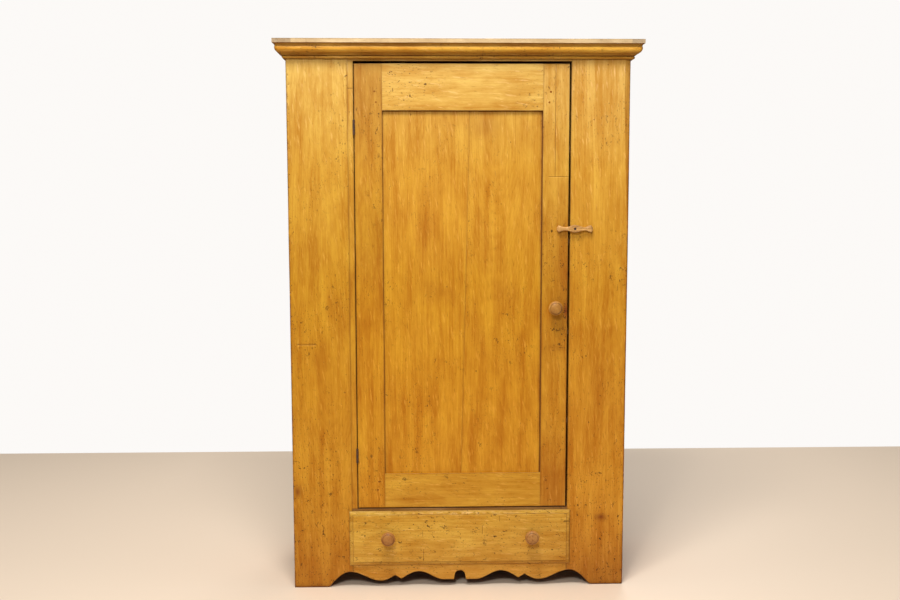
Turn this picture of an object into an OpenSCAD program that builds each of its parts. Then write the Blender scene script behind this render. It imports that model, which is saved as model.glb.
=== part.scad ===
// Old pine store cupboard: one tall panelled door over one lipped drawer, on a scalloped base.
// Millimetres, +Z up, +X to the right of the front, +Y towards the back.
// The origin is the centre of the whole cupboard's footprint, on the floor.

/* [Case] */
// Width across the outer faces of the sides
case_w = 1190; // [1150:5:1230]
// Depth from the face frame's front to the back boards' rear
case_d = 480; // [420:5:540]
// Height of the sides, up to the underside of the cap strips
case_h = 1926; // [1921:1:1956]
// Thickness of the sides and the face frame
board_t = 22; // [18:1:24]
// Thickness of the back boards
back_t = 12; // [10:1:14]
// Height at which the back boards start
back_low = 60; // [40:1:70]
// Number of back boards
back_boards = 5; // [5]
// Radius of the half round foot opening in each side
side_arch_r = 90; // [60:1:95]

/* [Face frame] */
// Width of the left stile
stile_left_w = 210.5; // [205:0.5:215]
// Width of the right stile
stile_right_w = 205; // [200:0.5:210]
// Width of the filler strip that carries the hinges
strip_w = 19.5; // [18:0.5:22]
// Underside of the top rail
top_rail_z = 1871; // [1868:1:1876]
// Top of the rail between the door and the drawer
divider_z = 291; // [288:1:292]
// Top of the drawer opening
drawer_open_top = 270; // [266:1:272]
// Bottom of the drawer opening, on top of the apron
drawer_open_low = 95; // [92:1:98]

/* [Scalloped apron] */
// Half the distance between the two feet, where they stand on the floor
foot_half = 474; // [460:1:480]
// Height of the scallops' high points
scallop_high = 56; // [50:1:58]
// Height of the broad lobes' low points
scallop_low = 22; // [18:1:26]
// Half the width of the round notch in the middle
notch_half = 20; // [16:1:24]
// Distance from the middle to the end of the flat beside the notch
flat_end = 57; // [45:1:65]
// Distance from the middle to the inner high point
rise_end = 148; // [140:1:152]
// Distance from the middle to the pointed cusp
cusp_at = 235; // [225:1:240]
// Distance from the middle to the broad lobe's low point
lobe_at = 286; // [275:1:295]
// Distance from the middle to the high point where the foot's curve starts
foot_start = 397; // [395:1:410]

/* [Inside] */
// Thickness of the fixed shelves
shelf_t = 20; // [16:1:24]
// Thickness of the cupboard's floor
floor_t = 18; // [16:1:20]
// Distance from the face to the shelves' front edges
shelf_setback = 26; // [25:1:60]
// Number of fixed shelves
shelf_count = 4; // [4]

/* [Crown] */
// Height of the crown moulding
crown_h = 49; // [49]
// Thickness of the flat cap strips on top
cap_t = 15; // [12:1:18]
// How far the cap strips stand out from the case
cap_reach = 40; // [39:1:45]
// Width of the left cap strip
cap_left_w = 64; // [50:1:80]
// Width of the right cap strip
cap_right_w = 45; // [42:1:80]

/* [Door] */
// Width of the door
door_w = 745; // [743:0.5:747]
// Height of the door
door_h = 1567; // [1560:1:1570]
// Thickness of the door
door_t = 24; // [22:1:25]
// Width of the door's hinge stile
door_stile_left_w = 96; // [90:1:100]
// Width of the door's knob stile
door_stile_right_w = 91; // [88:1:100]
// Height of the door's top rail
door_rail_top_h = 159; // [150:1:165]
// Height of the door's bottom rail
door_rail_low_h = 123; // [118:1:130]
// How far the flat panel lies behind the door's face
panel_recess = 9; // [8:1:10]
// Clearance between the door and the hinge strip
hinge_gap = 3; // [3:0.1:3.4]
// Clearance under the door
door_gap_low = 4; // [3:1:6]

/* [Hinges] */
// Height of each butt hinge
hinge_h = 51; // [45:1:60]
// Outer radius of the knuckles
knuckle_r = 4; // [3.8:0.1:4.2]
// Radius of the hinge pins
hinge_pin_r = 2; // [1.8:0.1:2.2]
// Height of the top hinge's middle
hinge_top_z = 1645; // [1500:1:1700]
// Height of the low hinge's middle
hinge_low_z = 486; // [440:1:600]

/* [Knobs] */
// Diameter of the turned knobs
knob_d = 51; // [44:1:56]
// How far a knob stands out
knob_len = 40; // [38:1:42]
// Height of the door knob
door_knob_z = 1016; // [900:1:1100]
// Distance of each drawer knob from the drawer's middle
drawer_knob_x = 258; // [220:1:280]

/* [Turn button] */
// Length of the carved turn button
button_len = 126; // [110:1:130]
// Thickness of the turn button
button_t = 16; // [14:1:20]
// Height of its screw
button_z = 1294; // [1200:1:1400]
// Distance of its screw from the right stile's inner edge
button_in = 15.6; // [14:0.1:20]

/* [Drawer] */
// How far the drawer front stands out from the face
lip_proud = 10; // [8:1:12]
// How far the lip laps over the frame at each side
lip_lap = 11; // [9:1:14]
// Length of the drawer box behind its front
drawer_depth = 400; // [350:5:420]
// Height of the drawer's sides
drawer_side_h = 165; // [140:1:168]
// Thickness of the drawer's sides and back
drawer_t = 12; // [10:1:14]

/* [Hidden] */
$fn = 64;
eps = 0.01;
notch_top = scallop_high + 2;
cusp_low = 28;
cusp_rise = 20;
face_y = (lip_proud + knob_len - case_d) / 2;
half_w = case_w / 2;
inner_x = half_w - board_t;
open_left = -half_w + stile_left_w;
open_right = half_w - stile_right_w;
open_mid = (open_left + open_right) / 2;
back_front = case_d - back_t;
rabbet = 12;
tenon_t = 8;
tenon_front = 7;
frame_tenon = 30;

door_left = open_left + strip_w + hinge_gap;
door_right = door_left + door_w;
door_low = divider_z + door_gap_low;
door_high = door_low + door_h;
panel_left = door_left + door_stile_left_w;
panel_right = door_right - door_stile_right_w;
panel_low = door_low + door_rail_low_h;
panel_high = door_high - door_rail_top_h;
groove = 9;
panel_body = 13;
panel_play = 1;
door_tenon = 60;
haunch = 25;
seam_top = 38;
seam_low = 7;
peg_r = 4;
peg_in = [26, 21];
peg_up = [64, 28];
peg_down = [58, 28];

hinge_x = door_left - hinge_gap / 2;
hinge_y = -knuckle_r - 0.5;
leaf_t = hinge_gap / 2 - 0.1;
leaf_depth = 18;
knuckles = 5;
knuckle_step = hinge_h / knuckles;
screw_rise = [-17, 0, 17];
screw_back = [6, 12, 6];
screw_len = 14;

crown_run = 50;
cap_x = half_w + cap_reach;

tenon_r = 8;
door_knob_in = 44.4;
knob_door_x = door_right - door_knob_in;

button_x = open_right + button_in;
button_back = -0.5;
button_front = button_back - button_t;
button_bore_r = 2.55;
screw_head_r = 4;
lip_low = drawer_open_low - lip_lap - 3;
lip_high = drawer_open_top + lip_lap + 2;
lip_half = (open_right - open_left) / 2 + lip_lap;
drawer_play = 3;
drawer_left = open_left + drawer_play;
drawer_right = open_right - drawer_play;
drawer_low = drawer_open_low + 2;
front_in = 14;
drawer_back_y = front_in + drawer_depth;
left_side_x = [drawer_left, drawer_left + drawer_t];
right_side_x = [drawer_right - drawer_t, drawer_right];
drawer_knob_z = (lip_low + lip_high) / 2 + 7;
bottom_t = 8;
bottom_z = drawer_low + 6;
bottom_groove = 5;

runner_t = 20;
runner_top = drawer_low - 0.5;
support_low = runner_top - 2 * runner_t;
support_w = 40;
guide_gap = 1.5;
cleat_h = 30;
cleat_t = 20;
shelf_pitch = (case_h - board_t - divider_z) / (shelf_count + 1);

pine = "#d99a3a";
pine_light = "#e2ab4c";
pine_dark = "#bf7a2a";
raw_pine = "#cfa878";
iron = "#3a3430";

// ---------- helpers: every y is measured back from the face frame's front ----------

// A board between two x, two y and two z limits
module board(x, y, z) {
    translate([x[0], face_y + y[0], z[0]])
        cube([x[1] - x[0], y[1] - y[0], z[1] - z[0]]);
}

// An outline in x and z, as thick as the span y
module upright(y) {
    translate([0, face_y + y[1], 0])
        rotate([90, 0, 0])
            linear_extrude(y[1] - y[0])
                children();
}

// A round bar along y
module bar_y(x, z, r, y) {
    translate([x, face_y + y[1], z])
        rotate([90, 0, 0])
            cylinder(r = r, h = y[1] - y[0]);
}

// ---------- case ----------

function ease(t) = (1 - cos(180 * t)) / 2;
function s_curve(a, b) =
    [for (t = [0:0.05:0.99]) [a[0] + (b[0] - a[0]) * t, a[1] + (b[1] - a[1]) * ease(t)]];

// Right half of the scalloped edge, as distance from the middle and height
function scallop_half() = concat(
    [for (a = [0:9:90]) [notch_half * sin(a), notch_top - notch_half * (1 - cos(a))]],
    [[notch_half, scallop_low + 2]],
    s_curve([flat_end, scallop_low + 2], [rise_end, scallop_high]),
    [for (t = [0:0.05:0.99]) [rise_end + 64 * t, cusp_low + (scallop_high - cusp_low) * cos(90 * t)]],
    [[rise_end + 64, cusp_low]],
    [for (t = [0:0.1:0.99]) [cusp_at + (lobe_at - cusp_at) * t, scallop_low + cusp_rise * (1 - sin(90 * t))]],
    s_curve([lobe_at, scallop_low], [foot_start, scallop_high]),
    [for (t = [0:0.05:1]) [foot_start + (foot_half - foot_start) * t, scallop_high * cos(90 * t)]]
);

// Everything under the scalloped edge
module scallop_air() {
    edge = scallop_half();
    mirrored = [for (i = [len(edge) - 1:-1:1]) [-edge[i][0], edge[i][1]]];
    translate([open_mid, 0])
        polygon(concat([[-foot_half, -10]], mirrored, edge, [[foot_half, -10]]));
}

// Tenons of the face frame's rails, which fill the stiles' mortises
module frame_tenons(z) {
    tenon_y = [tenon_front, tenon_front + tenon_t];
    board([open_left - frame_tenon, open_left + eps], tenon_y, z);
    board([open_right - eps, open_right + frame_tenon], tenon_y, z);
}

module all_frame_tenons() {
    frame_tenons([top_rail_z + 10, case_h - 12]);
    frame_tenons([drawer_open_top + 4, divider_z - 4]);
    frame_tenons([scallop_high + 10, drawer_open_low - 8]);
}

module side_board() {
    difference() {
        board([-half_w, -inner_x], [board_t, case_d], [0, case_h]);
        board([-inner_x - rabbet + 2, -inner_x + 1], [back_front, case_d + 1], [-1, case_h + 1]);
        translate([-half_w - 1, face_y + (board_t + case_d) / 2, 0])
            rotate([0, 90, 0])
                cylinder(r = side_arch_r, h = board_t + 2);
        back_nails();
    }
}

module side_left() { color(pine) side_board(); }
module side_right() { color(pine) mirror([1, 0, 0]) side_board(); }

module stile_left() {
    color(pine) difference() {
        board([-half_w, open_left], [0, board_t], [0, case_h]);
        upright([-1, board_t + 1]) scallop_air();
        all_frame_tenons();
        cap_nails();
    }
}

module stile_right() {
    color(pine) difference() {
        board([open_right, half_w], [0, board_t], [0, case_h]);
        upright([-1, board_t + 1]) scallop_air();
        all_frame_tenons();
        button_screw_solid();
        cap_nails();
    }
}

module hinge_strip() {
    color(pine_light) difference() {
        board([open_left, open_left + strip_w], [0, board_t], [divider_z, top_rail_z]);
        hinge_screw_set(-1);
    }
}

module top_rail() {
    color(pine_dark) difference() {
        union() {
            board([open_left, open_right], [0, board_t], [top_rail_z, case_h]);
            frame_tenons([top_rail_z + 10, case_h - 12]);
        }
        cap_nails();
    }
}

module divider_rail() {
    color(pine_dark) union() {
        board([open_left, open_right], [0, board_t], [drawer_open_top, divider_z]);
        frame_tenons([drawer_open_top + 4, divider_z - 4]);
    }
}

module apron() {
    color(pine) union() {
        difference() {
            board([open_left, open_right], [0, board_t], [0, drawer_open_low]);
            upright([-1, board_t + 1]) scallop_air();
        }
        frame_tenons([scallop_high + 10, drawer_open_low - 8]);
    }
}

module case_top() {
    color(pine_light) difference() {
        board([-inner_x, inner_x], [board_t, back_front], [case_h - board_t, case_h]);
        back_nails();
    }
}

module cupboard_floor() {
    color(pine_light) difference() {
        board([-inner_x, inner_x], [board_t, back_front], [divider_z - floor_t, divider_z]);
        back_nails();
    }
}

// Top surface of fixed shelf number i, counted from 1
function shelf_z(i) = divider_z + i * shelf_pitch;

module shelf(i) {
    color(pine_light) difference() {
        board([-inner_x, inner_x], [shelf_setback, back_front], [shelf_z(i) - shelf_t, shelf_z(i)]);
        back_nails();
    }
}

module cleats(x) {
    under = concat([divider_z - floor_t], [for (i = [1:shelf_count]) shelf_z(i) - shelf_t]);
    color(pine_dark)
        for (z = under) board(x, [40, back_front - 10], [z - cleat_h, z]);
}

module shelf_cleats_left() { cleats([-inner_x, -inner_x + cleat_t]); }
module shelf_cleats_right() { cleats([inner_x - cleat_t, inner_x]); }

// Vertical back board number i from 0, lapped half over its neighbours
module back_board(i) {
    lap = 8;
    gap = 1;
    reach = inner_x + rabbet - 2;
    w = 2 * reach / back_boards;
    x0 = -reach + i * w;
    tongue = i > 0 ? lap - gap : 0;
    cut = i < back_boards - 1 ? lap : 0;
    shrink = i < back_boards - 1 ? gap : 0;
    half = back_front + back_t / 2;
    color(pine_dark) difference() {
        translate([0, face_y, back_low])
            linear_extrude(case_h - back_low)
                polygon([[x0 - tongue, back_front], [x0 + w - cut, back_front],
                         [x0 + w - cut, half], [x0 + w - shrink, half],
                         [x0 + w - shrink, case_d], [x0, case_d],
                         [x0, half], [x0 - tongue, half]]);
        back_nails();
    }
}

// Heights of the boards that the back boards are nailed to
function nail_rows() = concat(
    [support_low + runner_t / 2, divider_z - floor_t / 2, case_h - board_t / 2],
    [for (i = [1:shelf_count]) shelf_z(i) - shelf_t / 2]);

// Cut nails through the back, two to each board and row
module back_nails() {
    head = 6;
    shank = 3;
    w = 2 * (inner_x + rabbet - 2) / back_boards;
    color(iron)
        for (i = [0:back_boards - 1], side = [-1, 1], z = nail_rows()) {
            x = (i - (back_boards - 1) / 2) * w + side * w / 4;
            board([x - head / 2, x + head / 2], [case_d - 2, case_d], [z - head / 2, z + head / 2]);
            board([x - shank / 2, x + shank / 2], [case_d - 34, case_d - 2 + eps],
                  [z - shank / 2, z + shank / 2]);
        }
}

module support_rail(y) {
    color(pine_dark) difference() {
        board([-inner_x, inner_x], y, [support_low, support_low + runner_t]);
        back_nails();
    }
}

module support_rail_front() { support_rail([board_t, board_t + support_w]); }
module support_rail_back() { support_rail([back_front - support_w, back_front]); }

module drawer_runner(x) {
    color(pine_dark)
        board(x, [board_t, back_front], [support_low + runner_t, runner_top]);
}

module drawer_runner_left() { drawer_runner([drawer_left - 24, drawer_left + 36]); }
module drawer_runner_right() { drawer_runner([drawer_right - 36, drawer_right + 24]); }

module drawer_guide(x) {
    color(pine_dark) board(x, [board_t, back_front], [runner_top, runner_top + 25]);
}

module drawer_guide_left() {
    drawer_guide([drawer_left - guide_gap - runner_t, drawer_left - guide_gap]);
}
module drawer_guide_right() {
    drawer_guide([drawer_right + guide_gap, drawer_right + guide_gap + runner_t]);
}

// ---------- crown ----------

// Crown section as reach from the case and height: bead, cove, ovolo and top cavetto
function crown_section() = concat(
    [[0, 0]],
    [for (a = [-90:30:90]) [6 + 4.75 * cos(a), 4.75 + 4.75 * sin(a)]],
    [[9, 10.5]],
    [for (a = [180:-18:90]) [20 + 7.5 * cos(a), 11.5 + 6.5 * sin(a)]],
    [for (a = [15:15:90]) [20 + 13 * sin(a), 35 - 17 * cos(a)]],
    [[33, 37.5]],
    [for (a = [0:18:90]) [31.5 + 7 * (1 - cos(a)), 38.5 + (crown_h - 38.5) * sin(a)]],
    [[0, crown_h]]
);

module crown_front() {
    color(pine) intersection() {
        translate([-half_w - crown_run, face_y, case_h - crown_h])
            rotate([0, 0, -90]) rotate([90, 0, 0]) mirror([0, 0, 1])
                linear_extrude(case_w + 2 * crown_run) polygon(crown_section());
        translate([0, face_y, case_h - crown_h])
            linear_extrude(crown_h)
                polygon([[-half_w, 0], [half_w, 0], [half_w + crown_run, -crown_run],
                         [-half_w - crown_run, -crown_run]]);
    }
}

module crown_side() {
    color(pine) intersection() {
        translate([-half_w, face_y - crown_run, case_h - crown_h])
            rotate([0, 0, 180]) rotate([90, 0, 0])
                linear_extrude(case_d + crown_run) polygon(crown_section());
        translate([0, face_y, case_h - crown_h])
            linear_extrude(crown_h)
                polygon([[-half_w, 0], [-half_w, case_d], [-half_w - crown_run, case_d],
                         [-half_w - crown_run, -crown_run]]);
    }
}

module crown_left() { difference() { crown_side(); cap_nails(); } }
module crown_right() { difference() { mirror([1, 0, 0]) crown_side(); cap_nails(); } }

module cap_strip(x, y) {
    color(pine_light) difference() {
        board(x, y, [case_h, case_h + cap_t]);
        cap_nails();
    }
}

module cap_front() { cap_strip([-cap_x + cap_left_w, cap_x - cap_right_w], [-cap_reach, 24]); }
module cap_left() { cap_strip([-cap_x, -cap_x + cap_left_w], [-cap_reach, case_d]); }
module cap_right() { cap_strip([cap_x - cap_right_w, cap_x], [-cap_reach, case_d]); }

module nail_down(x, y) {
    top = case_h + cap_t;
    board([x - 3, x + 3], [y - 3, y + 3], [top - 2, top]);
    board([x - 1.5, x + 1.5], [y - 1.5, y + 1.5], [top - 38, top - 2 + eps]);
}

module cap_nails() {
    side_x = half_w + 12;
    color(iron) {
        for (x = [-side_x, side_x], y = [30:105:450]) nail_down(x, y);
        for (x = [-500:200:500]) nail_down(x, 12);
    }
}

// ---------- hinges ----------

// One leaf and its knuckles: way -1 is the case's leaf, +1 is the door's
module hinge_leaf(z, way) {
    low = z - hinge_h / 2;
    own = way < 0 ? [0, 2, 4] : [1, 3];
    other = way < 0 ? [1, 3] : [0, 2, 4];
    play = 0.15;
    inner = hinge_x + way * 0.1;
    outer = hinge_x + way * (leaf_t + 0.1);
    color(iron) difference() {
        union() {
            board([min(inner, outer), max(inner, outer)], [hinge_y, leaf_depth], [low, low + hinge_h]);
            for (k = own)
                translate([hinge_x, face_y + hinge_y, low + k * knuckle_step + play])
                    cylinder(r = knuckle_r, h = knuckle_step - 2 * play);
        }
        translate([hinge_x, face_y + hinge_y, low - 1])
            cylinder(r = hinge_pin_r + 0.05, h = hinge_h + 2);
        for (k = other)
            translate([hinge_x, face_y + hinge_y, low + k * knuckle_step - play])
                cylinder(r = knuckle_r + 0.4, h = knuckle_step + 2 * play);
        hinge_screw_set(way);
    }
}

module hinge_leaf_case_top() { hinge_leaf(hinge_top_z, -1); }
module hinge_leaf_case_low() { hinge_leaf(hinge_low_z, -1); }
module hinge_leaf_door_top() { hinge_leaf(hinge_top_z, 1); }
module hinge_leaf_door_low() { hinge_leaf(hinge_low_z, 1); }

module hinge_pins() {
    color(iron)
        for (z = [hinge_low_z, hinge_top_z])
            translate([hinge_x, face_y + hinge_y, z - hinge_h / 2])
                cylinder(r = hinge_pin_r, h = hinge_h);
}

// Countersunk screws, with their heads flush with the leaf
module hinge_screw_set(way) {
    color(iron)
        for (z = [hinge_low_z, hinge_top_z], i = [0:2])
            translate([hinge_x + way * 0.1, face_y + screw_back[i], z + screw_rise[i]])
                rotate([0, way * 90, 0]) {
                    cylinder(r1 = 3.4, r2 = 1.6, h = leaf_t);
                    translate([0, 0, leaf_t - eps]) cylinder(r = 1.6, h = screw_len);
                }
}

module hinge_screws_case() { hinge_screw_set(-1); }
module hinge_screws_door() { hinge_screw_set(1); }

// ---------- door ----------

// Tenons of one door rail, between two heights
module door_tenons(z) {
    tenon_y = [panel_recess, panel_recess + tenon_t];
    board([panel_left - door_tenon, panel_left + eps], tenon_y, z);
    board([panel_right - eps, panel_right + door_tenon], tenon_y, z);
}

module door_tenons_top() { door_tenons([panel_high + groove, door_high - haunch]); }
module door_tenons_low() { door_tenons([door_low + haunch, panel_low - groove]); }

// The groove that runs round inside the door frame
module panel_groove() {
    board([panel_left - groove, panel_right + groove], [panel_recess, panel_recess + tenon_t],
          [panel_low - groove, panel_high + groove]);
}

module door_peg_set(y) {
    for (i = [0, 1]) {
        bar_y(panel_left - peg_in[i], panel_high + peg_up[i], peg_r, y);
        bar_y(panel_right + peg_in[i], panel_high + peg_up[i], peg_r, y);
        bar_y(panel_left - peg_in[i], panel_low - peg_down[i], peg_r, y);
        bar_y(panel_right + peg_in[i], panel_low - peg_down[i], peg_r, y);
    }
}

module door_frame_cuts() {
    panel_groove();
    door_tenons_top();
    door_tenons_low();
    door_peg_set([-1, door_t + 1]);
}

module door_stile_left() {
    color(pine_dark) difference() {
        board([door_left, panel_left], [0, door_t], [door_low, door_high]);
        door_frame_cuts();
        hinge_screw_set(1);
    }
}

module door_stile_right() {
    color(pine_dark) difference() {
        board([panel_right, door_right], [0, door_t], [door_low, door_high]);
        door_frame_cuts();
        bar_y(knob_door_x, door_knob_z, tenon_r, [-1, door_t + 1]);
    }
}

module door_rail_top() {
    color(pine_light) difference() {
        union() {
            board([panel_left, panel_right], [0, door_t], [panel_high, door_high]);
            door_tenons_top();
        }
        panel_groove();
        door_peg_set([-1, door_t + 1]);
    }
}

module door_rail_low() {
    color(pine_dark) difference() {
        union() {
            board([panel_left, panel_right], [0, door_t], [door_low, panel_low]);
            door_tenons_low();
        }
        panel_groove();
        door_peg_set([-1, door_t + 1]);
    }
}

module door_panel() {
    edge = groove - panel_play;
    back = panel_recess + panel_body;
    board([panel_left - edge, panel_right + edge], [panel_recess, panel_recess + tenon_t],
          [panel_low - edge, panel_high + edge]);
    board([panel_left + 2, panel_right - 2], [panel_recess + tenon_t - eps, back],
          [panel_low + 2, panel_high - 2]);
}

// The part of the door on one side of the panel's glued seam
module seam_side(x) {
    upright([0, door_t])
        polygon([[seam_low, panel_low - groove], [seam_top, panel_high + groove],
                 [x, panel_high + groove], [x, panel_low - groove]]);
}

module door_panel_left() {
    color(pine) intersection() { door_panel(); seam_side(panel_left - groove); }
}
module door_panel_right() {
    color(pine) intersection() { door_panel(); seam_side(panel_right + groove); }
}

module door_pegs() { color(pine_dark) door_peg_set([0, door_t]); }

// ---------- knobs ----------

// Half section of a knob: tenon, collar, neck and mushroom head, as radius and reach
module knob_section(tenon_len) {
    r = knob_d / 2;
    polygon(concat(
        [[0, -tenon_len], [tenon_r, -tenon_len], [tenon_r, 0], [15, 0], [15, 3]],
        [for (a = [0:15:90]) [11 + 4 * (1 - sin(a)), 3 + 8 * (1 - cos(a))]],
        [for (a = [-60:15:90]) [r - 9 + 9 * cos(a), 25 + 9 * sin(a)]],
        [for (t = [0.2:0.2:1]) [(r - 9) * (1 - t), 34 + (knob_len - 34) * sin(90 * t)]]
    ));
}

module knob(x, y, z, tenon_len) {
    color(raw_pine)
        translate([x, face_y + y, z])
            rotate([90, 0, 0])
                rotate_extrude() knob_section(tenon_len);
}

module door_knob() { knob(knob_door_x, 0, door_knob_z, door_t); }

module drawer_knob_left() {
    knob(open_mid - drawer_knob_x, -lip_proud, drawer_knob_z, lip_proud + front_in);
}
module drawer_knob_right() {
    knob(open_mid + drawer_knob_x, -lip_proud, drawer_knob_z, lip_proud + front_in);
}

// ---------- turn button ----------

// Upper edge of the carved button, as distance from the screw and half height:
// a lens round the screw, a narrow neck and a flared tail
function button_edge() = concat(
    [for (t = [0:0.125:1]) [34 * t, 6 + 7.5 * (1 + cos(180 * t)) / 2]],
    s_curve([36, 6], [button_len / 2 - 6, 12]),
    [[button_len / 2 - 5, 12], [button_len / 2 - 1, 8], [button_len / 2, 0]]
);

module button_outline() {
    edge = button_edge();
    n = len(edge);
    upper = concat([for (i = [n - 1:-1:1]) [-edge[i][0], edge[i][1]]], edge);
    lower = [for (i = [len(upper) - 2:-1:1]) [upper[i][0], -upper[i][1]]];
    polygon(concat(upper, lower));
}

module turn_button() {
    color(raw_pine) difference() {
        upright([button_front, button_back]) translate([button_x, button_z]) button_outline();
        bar_y(button_x, button_z, button_bore_r, [button_front - 1, 1]);
        bar_y(button_x, button_z, screw_head_r + 0.4, [button_front - 1, button_front + 4]);
    }
}

module button_screw_solid() {
    bar_y(button_x, button_z, button_bore_r - 0.05, [button_front + 2, board_t - 3]);
    bar_y(button_x, button_z, screw_head_r, [button_front + 1, button_front + 3.6]);
}

module turn_button_screw() {
    slot_half = 0.5;
    color(iron) difference() {
        button_screw_solid();
        board([button_x - 5, button_x + 5], [button_front, button_front + 2],
              [button_z - slot_half, button_z + slot_half]);
    }
}

// ---------- drawer ----------

// One corner of the drawer front's lip: a thumbnail moulding and a small step up to the field
function thumbnail(side, half) =
    [for (a = [0:15:90]) [side * (half - 12 * (1 - cos(a))), -(lip_proud - 8) - 6 * sin(a)]];

// Half of the lip's section, from its back edge to the field
function lip_half_section(side, half) = concat(
    [[side * half, 0]],
    thumbnail(side, half),
    [[side * (half - 14), -lip_proud + 2], [side * (half - 14), -lip_proud]]
);

module lip_section(half) {
    left = lip_half_section(-1, half);
    right = lip_half_section(1, half);
    polygon(concat(right, [for (i = [len(left) - 1:-1:0]) left[i]]));
}

// Tails of one drawer side, cut half blind into the front
module drawer_tails(x) {
    tails = 3;
    pitch = drawer_side_h / tails;
    for (i = [0:tails - 1])
        translate([x[0], face_y, drawer_low + (i + 0.5) * pitch])
            rotate([90, 0, 90])
                linear_extrude(x[1] - x[0])
                    polygon([[front_in + eps, -15], [2, -20], [2, 20], [front_in + eps, 15]]);
}

module drawer_bottom_solid() {
    board([drawer_left + drawer_t - bottom_groove, drawer_right - drawer_t + bottom_groove],
          [front_in - bottom_groove, drawer_back_y], [bottom_z, bottom_z + bottom_t]);
}

module drawer_front() {
    mid_z = (lip_low + lip_high) / 2;
    color(pine_light) difference() {
        union() {
            intersection() {
                translate([open_mid, face_y, lip_low])
                    linear_extrude(lip_high - lip_low) lip_section(lip_half);
                translate([open_mid - lip_half, face_y, mid_z])
                    rotate([0, 90, 0])
                        linear_extrude(2 * lip_half) lip_section((lip_high - lip_low) / 2);
            }
            board([drawer_left, drawer_right], [-eps, front_in], [drawer_low, drawer_open_top - 2]);
        }
        drawer_tails([drawer_left - 1, drawer_left + drawer_t]);
        drawer_tails([drawer_right - drawer_t, drawer_right + 1]);
        drawer_bottom_solid();
        for (way = [-1, 1])
            bar_y(open_mid + way * drawer_knob_x, drawer_knob_z, tenon_r, [-lip_proud - 1, front_in + 1]);
    }
}

module drawer_side(x) {
    color(raw_pine) difference() {
        union() {
            board(x, [front_in, drawer_back_y], [drawer_low, drawer_low + drawer_side_h]);
            drawer_tails(x);
        }
        drawer_bottom_solid();
    }
}

module drawer_side_left() { drawer_side(left_side_x); }
module drawer_side_right() { drawer_side(right_side_x); }

module drawer_back() {
    color(raw_pine)
        board([left_side_x[1], right_side_x[0]], [drawer_back_y - drawer_t, drawer_back_y],
              [bottom_z + bottom_t, drawer_low + drawer_side_h]);
}

module drawer_bottom() { color(raw_pine) drawer_bottom_solid(); }

// ---------- nodes ----------

side_left();
side_right();
stile_left();
stile_right();
hinge_strip();
top_rail();
divider_rail();
apron();
case_top();
cupboard_floor();
shelf(1);  // shelf_1
shelf(2);  // shelf_2
shelf(3);  // shelf_3
shelf(4);  // shelf_4
shelf_cleats_left();
shelf_cleats_right();
back_board(0);  // back_board_1
back_board(1);  // back_board_2
back_board(2);  // back_board_3
back_board(3);  // back_board_4
back_board(4);  // back_board_5
support_rail_front();
support_rail_back();
drawer_runner_left();
drawer_runner_right();
drawer_guide_left();
drawer_guide_right();
crown_front();
crown_left();
crown_right();
cap_front();
cap_left();
cap_right();
back_nails();
cap_nails();
hinge_leaf_case_top();
hinge_leaf_case_low();
hinge_pins();
hinge_screws_case();
turn_button_screw();
door_stile_left();
door_stile_right();
door_rail_top();
door_rail_low();
door_panel_left();
door_panel_right();
door_pegs();
door_knob();
hinge_leaf_door_top();
hinge_leaf_door_low();
hinge_screws_door();
drawer_front();
drawer_side_left();
drawer_side_right();
drawer_back();
drawer_bottom();
drawer_knob_left();
drawer_knob_right();
turn_button();
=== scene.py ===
"""Looks of the old pine cupboard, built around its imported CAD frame.

Lengths are metres, +Z is up and the front looks towards -Y.
"""
import math

import bpy
import numpy as np
from mathutils import Matrix, Vector


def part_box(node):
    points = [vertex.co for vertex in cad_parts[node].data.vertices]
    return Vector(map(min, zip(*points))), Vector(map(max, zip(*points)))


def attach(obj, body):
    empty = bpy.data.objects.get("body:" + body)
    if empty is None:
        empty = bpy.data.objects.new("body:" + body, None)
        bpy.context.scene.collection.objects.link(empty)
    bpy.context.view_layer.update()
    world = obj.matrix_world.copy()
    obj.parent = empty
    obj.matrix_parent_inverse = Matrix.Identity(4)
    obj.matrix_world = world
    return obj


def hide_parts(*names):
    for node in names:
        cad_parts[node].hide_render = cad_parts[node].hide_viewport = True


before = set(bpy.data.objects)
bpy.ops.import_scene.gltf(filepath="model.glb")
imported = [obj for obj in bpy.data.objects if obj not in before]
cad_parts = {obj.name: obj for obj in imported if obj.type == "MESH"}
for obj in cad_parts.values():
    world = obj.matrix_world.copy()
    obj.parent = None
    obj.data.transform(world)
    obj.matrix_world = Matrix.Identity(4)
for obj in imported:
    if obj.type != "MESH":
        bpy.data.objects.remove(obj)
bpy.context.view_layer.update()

MM = 0.001
LOW, HIGH = 0, 1
AXES = {"x": 0, "y": 1, "z": 2}
FACE_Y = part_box("stile_left")[LOW][1]
rng = np.random.default_rng(1870)


# ------------ numbers on a surface

def lattice(i, j, seed):
    """A repeatable random value from -1 to 1 for each pair of whole numbers."""
    n = (i * 374761393 + j * 668265263 + seed * 974634777) & 0xFFFFFFFF
    n = ((n ^ (n >> 13)) * 1274126177) & 0xFFFFFFFF
    return ((n ^ (n >> 16)) & 0xFFFF) / 32767.5 - 1.0


def noise(a, b, seed):
    """Smooth value noise from -1 to 1 with features about one unit wide."""
    i, j = np.floor(a).astype(np.int64), np.floor(b).astype(np.int64)
    s, t = a - i, b - j
    s, t = s * s * (3 - 2 * s), t * t * (3 - 2 * t)
    near = lattice(i, j, seed) * (1 - s) + lattice(i + 1, j, seed) * s
    far = lattice(i, j + 1, seed) * (1 - s) + lattice(i + 1, j + 1, seed) * s
    return near * (1 - t) + far * t


def smooth(x, low, high):
    """0 below low, 1 above high, and a soft step between."""
    t = np.clip((x - low) / (high - low), 0, 1)
    return t * t * (3 - 2 * t)


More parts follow.
